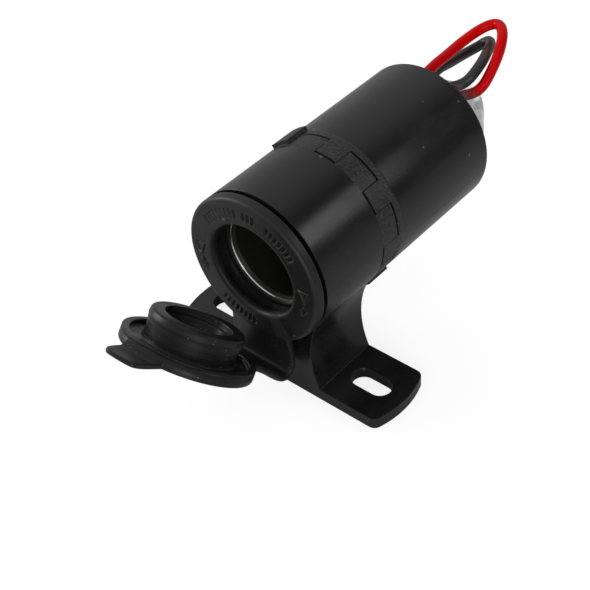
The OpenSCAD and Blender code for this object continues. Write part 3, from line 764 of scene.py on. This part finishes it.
def make_strap_surface(sizes):
    """Flat band along two Bezier curves: at each station the middle line plus a super-ellipse
    across it. Its first end follows the cap's round edge, and its thickness swells towards both
    ends."""
    middle_y, overlap, lead_out = sizes.rim_y - sizes.disc_t / 2, 2.0, 5.4
    flat, crown, cap_swell, foot_swell = 0.16, 0.75, 0.25, 0.3
    start, leave = (np.array(swing(middle_y, z - sizes.disc_r, OPEN_ANGLE))
                    for z in (overlap, -lead_out))
    low, ease, foot = np.array([-3.6, -27.4]), np.array([2.9, -0.2]), np.array([-2.1, -15.6])
    t = np.linspace(0, 1, 40)
    line = np.vstack([bezier(start, leave, low - ease, low, t)[:-1],
                      bezier(low, low + ease, np.array([-0.7, -22.5]), foot, t)])
    along = unit_rows(np.gradient(line, axis=0))
    across = np.stack([-along[:, 1], along[:, 0]], -1)
    share = np.linspace(0, 1, len(line))[:, None]
    a = full_turn(72)[None, :]
    x = sizes.strap_w / 2 * np.sign(np.cos(a)) * np.abs(np.cos(a)) ** flat
    lift = sizes.strap_t / 2 * np.sign(np.sin(a)) * np.abs(np.sin(a)) ** crown
    swell = (1 + cap_swell * smooth_step(1 - share / 0.12)
             + foot_swell * smooth_step((share - 0.9) / 0.1))
    hold_r = sizes.disc_r - 1.2
    follow = overlap - sizes.disc_r + np.sqrt(hold_r ** 2 - x ** 2)
    follow = follow * smooth_step(1 - share / 0.3)
    y = line[:, :1] + across[:, :1] * lift * swell + along[:1, :1] * follow
    z = line[:, 1:] + across[:, 1:] * lift * swell + along[:1, 1:] * follow
    return row_points(x * np.ones_like(share), y, z)


# Middle line of each lead, in mm from the barrel's axis and its front edge
RED_ROUTE = np.array([
    [0, 49.2, 4.4], [0, 51.7, 4.4], [0, 53.6, 4.6], [-1.8, 57, 8.2], [-3.4, 61.6, 11.2],
    [-4, 67.6, 12.1], [-4.2, 74, 12.2], [-4.1, 80, 12.7], [-3.2, 86.6, 13.4], [-1.1, 89.8, 14.2],
    [1.6, 88.6, 14.6], [4.1, 85.2, 14], [5.9, 80.8, 12.3], [6.8, 76.6, 10.2], [7.3, 72.6, 8.5],
    [6.5, 70.4, 7.4], [4.7, 68.7, 6.9], [3.2, 66.4, 6.6], [4.2, 62.5, 5.2], [6, 57, 3.2],
    [6.8, 50, 1]], float)
BLACK_ROUTE = np.array([
    [0, 49.2, -10.5], [0, 51.7, -10.5], [0, 54.3, -10.5], [-2.4, 57.6, -8.8], [-4.6, 60.4, -3.6],
    [-5, 64.4, 5], [-5.1, 70.4, 9], [-5.3, 77, 8.2], [-5.2, 83, 7.6], [-3.8, 87.4, 8.2],
    [-1.9, 88.6, 9.8], [0.3, 86.2, 10.6], [2.2, 81.8, 11.3], [4, 76.6, 11.6], [4.8, 71.4, 10.9],
    [4.5, 69, 10.2], [3.4, 67.2, 9.8], [1.6, 65.4, 9.2], [0.9, 62, 7.8], [1.6, 57, 3.2],
    [2.4, 50, -1.4]], float)
# The film's free edge round the leads, from the barrel's top the way that X leads
FILM_EDGE = np.array([
    [2.2, 61.4, 15], [4.3, 63, 13.6], [4.5, 66.8, 12.2], [6.4, 68.7, 10.2], [8.3, 70.5, 7.6],
    [9.6, 69.6, 5.6], [11.6, 67, 2.6], [13.2, 65, -1.5], [11.8, 62.6, -8], [5, 60.6, -13.8],
    [-5, 60.2, -14.2], [-13.6, 60.2, -6], [-14.4, 60.3, 3], [-10, 60.4, 11], [-3.6, 60.6, 14.6]],
    float)


def make_lead(name, route, sizes, node, material):
    """A lead: a round tube on the smooth curve through its route."""
    line = smooth_route(route, sizes.steps)
    path = row_points(*line.T)
    lead = put_tube(name, path, sizes.diameter / 2, sizes.sides)
    finish_piece(lead, "socket", material, [node])
    return lead


def make_film_surface():
    """Crumpled thin sleeve in turn a and height s: an outer and an inner sheet a film's thickness
    apart. Inside the barrel it is a circle. Beyond the barrel's end each point moves in a straight
    line to the free edge, which is a closed curve through chosen places round the leads, plus three
    sine ripples that are largest half way."""
    bore, thickness, start, end = 15.5, 0.14, 46.0, BARREL_LENGTH
    turns, window, fold_depth = 360, np.hanning(17), 0.8
    place = np.unwrap(np.arctan2(FILM_EDGE[:, 0], FILM_EDGE[:, 2]))
    place = np.concatenate([place, place[:1] + 2 * math.pi])
    closed = np.vstack([FILM_EDGE, FILM_EDGE[:1]])
    a = place[0] + full_turn(turns)
    edge = sample(a, place, closed)
    edge = rolling_mean(np.concatenate([edge[-8:], edge, edge[:8]]), window)
    ring = np.stack([bore * np.sin(a), np.full(turns, end), bore * np.cos(a)], -1)
    inside = np.linspace(start - end, 0, 12)[:-1, None, None] * np.array([0, 1, 0]) + ring
    s = np.linspace(0, 1, 30)[:, None, None]
    outside = ring * (1 - s) + edge * s
    a = a[None, :]
    half_way = 4 * s[..., 0] * (1 - s[..., 0]) + 0.35 * s[..., 0]
    fold = (np.abs(np.sin(4.5 * a + 1.1)) ** 0.6 * 0.45 + 0.22 * np.sin(11 * a - 2.5 * s[..., 0])
            + 0.14 * np.sin(27 * a + 4 * s[..., 0]))
    outward = np.stack([np.sin(a), 0 * a, np.cos(a)], -1)
    outside = outside - outward * (fold * half_way)[..., None] * fold_depth
    sheet = np.concatenate([inside, outside])
    both = np.concatenate([sheet, (sheet - outward * thickness)[::-1]])
    return row_points(*np.moveaxis(both, -1, 0))


# Operators

# Each soft box: name, direction from the barrel's middle, distance and width in metres, radiance
# and roll in degrees. The window box stands close, so that its reflection ends along the barrel.
SOFT_BOXES = (("window_box", (0.1042, 0.0547, 0.0874), 0.1467, 0.062, 1.95, -16.0),
              ("key_box", (0.66, -0.7, 0.28), 0.7, 0.3, 2.8, 0.0),
              ("side_box", (-0.88, -0.3, 0.34), 0.7, 0.34, 5.0, 0.0))
SOFT_BOX_TARGET = Vector((0, 0.02, AXIS_Z))


class SOCKET_OT_stage(bpy.types.Operator):
    """Makes the camera, the pale floor, the room's light and three soft boxes"""
    bl_idname = "power_socket.stage"
    bl_label = "Stage"

    def execute(self, context):
        scene = context.scene
        looks = scene.socket_stage
        scene.view_settings.view_transform = "Standard"
        camera = bpy.data.objects.new("camera", bpy.data.cameras.new("camera"))
        camera.location = looks.camera_place
        camera.rotation_euler = Euler([math.radians(v) for v in looks.camera_turn])
        camera.data.sensor_width = 36.0
        camera.data.lens = looks.lens
        camera.data.clip_start = 0.01
        scene.collection.objects.link(camera)
        scene.camera = camera
        make_floor(looks)
        make_room_light(looks)
        for box in SOFT_BOXES:
            soft_box(*box)
        return {"FINISHED"}


def soft_box(name, direction, distance, width, radiance, roll):
    """A square area lamp that looks at the object. Its power is radiance times pi times area."""
    lamp = bpy.data.lights.new(name, "AREA")
    lamp.size = width
    lamp.energy = radiance * math.pi * width ** 2
    obj = bpy.data.objects.new(name, lamp)
    towards = Vector(direction).normalized()
    obj.location = SOFT_BOX_TARGET + towards * distance
    turned = towards.to_track_quat("Z", "Y") @ Quaternion((0, 0, 1), math.radians(roll))
    obj.rotation_euler = turned.to_euler()
    bpy.context.scene.collection.objects.link(obj)


def seen_mask(tree):
    """One on rays from the camera, and on those that have passed through a clear piece."""
    path = tree.nodes.new("ShaderNodeLightPath").outputs
    return math_node(tree, "MAXIMUM", path["Is Camera Ray"], path["Is Transmission Ray"])


def make_floor(looks):
    """Pale floor at the mounting face. The camera sees it near white, with the object's shadow."""
    half, under = 2.0, -0.0003
    corners = np.array([[-1, -1], [1, -1], [1, 1], [-1, 1]]) * half
    floor = put_mesh("floor", np.insert(corners, 2, under, axis=1), [[0, 1, 2, 3]])
    material = bpy.data.materials.new("pale_floor")
    material.use_nodes = True
    tree = material.node_tree
    tree.nodes.clear()
    plain, shaded = (add_node(tree, "ShaderNodeBsdfDiffuse", Color=tint((tone,) * 3)).outputs[0]
                     for tone in (looks.floor_tone, looks.floor_seen))
    glow = add_node(tree, "ShaderNodeEmission", Color=(1, 1, 1, 1),
                    Strength=looks.floor_glow).outputs[0]
    bright = add_node(tree, "ShaderNodeAddShader", i0=shaded, i1=glow).outputs[0]
    mixed = add_node(tree, "ShaderNodeMixShader", i0=seen_mask(tree), i1=plain,
                     i2=bright).outputs[0]
    add_node(tree, "ShaderNodeOutputMaterial", Surface=mixed)
    floor.data.materials.append(material)


def make_room_light(looks):
    """Even room light that the camera sees as white, darker on the side behind the window box."""
    dark_towards, dark_from, dark_full = Vector((0.64, 0.60, 0.42)).normalized(), 0.62, 0.93
    world = bpy.data.worlds.new("studio")
    bpy.context.scene.world = world
    world.use_nodes = True
    tree = world.node_tree
    ray = tree.nodes.new("ShaderNodeTexCoord").outputs["Generated"]
    facing = add_node(tree, "ShaderNodeVectorMath", {"operation": "DOT_PRODUCT"}, i0=ray,
                      i1=tuple(dark_towards)).outputs["Value"]
    level = spread(tree, facing, dark_from, dark_full, looks.room_light, looks.dark_side)
    strength = add_node(tree, "ShaderNodeMix", {"data_type": "FLOAT"}, i0=seen_mask(tree),
                        i2=level, i3=1.0)
    fill_inputs(tree, tree.nodes["Background"], Color=(1, 1, 1, 1), Strength=strength.outputs[0])


class SOCKET_OT_leads(bpy.types.Operator):
    """Makes the red lead, the black lead and the clear film round them"""
    bl_idname = "power_socket.leads"
    bl_label = "Leads and film"

    def execute(self, context):
        sizes = context.scene.socket_leads
        red = cable_material("red_insulation", sizes.red, (0.62, 0.0, 0.002), 0.2, 0.11)
        black = cable_material("black_insulation", sizes.black, (0.036, 0.037, 0.037), 0.3, 0.5)
        thin = (row_points(5.8, 68.4, 8.8), 2.6 * MM, 3.8 * MM)
        clear = clear_material("film", sizes.film, sizes.film_cover, 0.18, thin)
        make_lead("red_cable", RED_ROUTE, sizes, "red_lead", red)
        make_lead("black_cable", BLACK_ROUTE, sizes, "black_lead", black)
        film = put_surface("clear_film", make_film_surface(), ring=True)
        finish_piece(film, "socket", clear, ["lead_wrap"])
        return {"FINISHED"}


class SOCKET_OT_bezel(bpy.types.Operator):
    """Makes the rubber bezel with its ticks and arrows"""
    bl_idname = "power_socket.bezel"
    bl_label = "Bezel"

    def execute(self, context):
        looks = context.scene.socket_barrel
        points = make_bezel_surface(context.scene.socket_bezel)
        ring = put_surface("rubber_bezel", points, ring=True)
        material = moulded_material("bezel_rubber", looks, looks.rubber,
                                    looks.rubber_roughness, 1.0, patch=(153, 6, 9))
        finish_piece(ring, "socket", material, ["bezel_ring"])
        return {"FINISHED"}


class SOCKET_OT_cap(bpy.types.Operator):
    """Makes the rubber cap, and the curved strap between it and the bezel"""
    bl_idname = "power_socket.cap"
    bl_label = "Cap and strap"

    def execute(self, context):
        looks, sizes = context.scene.socket_barrel, context.scene.socket_cap
        grain, dusty = 0.6, (1000.0, 0.3)
        rubber = moulded_material("cap_rubber", looks, looks.rubber,
                                  looks.rubber_roughness - 0.04, grain, specks=dusty,
                                  shine=0.26, streaks=True)
        # Painted light: the strap is the cap's rubber at twice its colour, so that the strap, which
        # sits in shade, looks lit.
        soft = moulded_material("strap_rubber", looks, [c * 2 for c in looks.rubber],
                                looks.rubber_roughness, grain, specks=dusty, shine=0.3)
        cap = put_surface("rubber_cap", make_cap_surface(sizes))
        finish_piece(cap, "cap", rubber, ["cap"])
        strap = put_surface("rubber_strap", make_strap_surface(sizes))
        finish_piece(strap, None, soft, ["strap"])
        bend_start, bend_end = row_points(0, -3.0, HINGE[1]), row_points(0, -12.0, HINGE[1])
        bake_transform(strap)
        return {"FINISHED"}


class SOCKET_OT_shells(bpy.types.Operator):
    """Finishes the two barrel shells and the plastic pieces inside them"""
    bl_idname = "power_socket.shells"
    bl_label = "Barrel shells"

    def execute(self, context):
        looks = context.scene.socket_barrel
        joint = (18.9, 26.0)
        dress_node("front_housing", moulded_material(
            "front_shell", looks, looks.plastic, looks.roughness, 0.35, band=joint))
        dress_node("rear_housing", moulded_material(
            "rear_shell", looks, looks.plastic, looks.roughness, 0.3, band=joint,
            line=looks.parting_turn))
        inner = moulded_material("inner_plastic", looks, (0.014, 0.014, 0.015), 0.5, 0.8)
        for node in ("socket_body", "retaining_nut", "flange_seal"):
            dress_node(node, inner)
        return {"FINISHED"}


class SOCKET_OT_contacts(bpy.types.Operator):
    """Finishes the sleeve, the contacts, the terminals and their insulation"""
    bl_idname = "power_socket.contacts"
    bl_label = "Contacts"

    def execute(self, context):
        steel = metal_material("plated_steel", (0.62, 0.61, 0.58), 0.22)
        dress_node("contact_sleeve", sleeve_material(context.scene.socket_barrel))
        brass = metal_material("brass", (0.75, 0.55, 0.26), 0.26, dark=0.5)
        fibre = fibre_material()
        boots = clear_material("soft_boot", (0.6, 0.6, 0.57), 0.6, 0.4)
        finishes = {
            steel: ("negative_terminal", "negative_rivet"),
            brass: ("centre_contact", "positive_terminal", "positive_receptacle",
                    "negative_receptacle"),
            fibre: ("inner_insulator", "outer_insulator"),
            boots: ("positive_boot", "negative_boot"),
        }
        for material, nodes in finishes.items():
            for node in nodes:
                dress_node(node, material)
        return {"FINISHED"}


class SOCKET_PT_panel(bpy.types.Panel):
    """Lists the steps that make the socket's looks"""
    bl_idname = "SOCKET_PT_panel"
    bl_label = "12 volt socket"
    bl_space_type = "VIEW_3D"
    bl_region_type = "UI"
    bl_category = "Socket"

    def draw(self, context):
        for operator in OPERATORS:
            self.layout.operator(operator.bl_idname)


OPERATORS = (SOCKET_OT_stage, SOCKET_OT_leads, SOCKET_OT_bezel, SOCKET_OT_cap, SOCKET_OT_shells,
             SOCKET_OT_contacts)
SETTINGS = {"socket_stage": StageLooks, "socket_leads": LeadSizes, "socket_bezel": BezelSizes,
            "socket_cap": CapSizes, "socket_barrel": BarrelLooks}


def register():
    for item in (*SETTINGS.values(), *OPERATORS, SOCKET_PT_panel):
        bpy.utils.register_class(item)
    for name, group in SETTINGS.items():
        setattr(bpy.types.Scene, name, PointerProperty(type=group))


def unregister():
    for name in SETTINGS:
        delattr(bpy.types.Scene, name)
    for item in (SOCKET_PT_panel, *reversed(OPERATORS), *reversed(tuple(SETTINGS.values()))):
        bpy.utils.unregister_class(item)


def main():
    register()
    bpy.ops.power_socket.stage()
    bpy.ops.power_socket.leads()
    bpy.ops.power_socket.bezel()
    bpy.ops.power_socket.cap()
    bpy.ops.power_socket.shells()
    bpy.ops.power_socket.contacts()


if __name__ == "__main__":
    main()
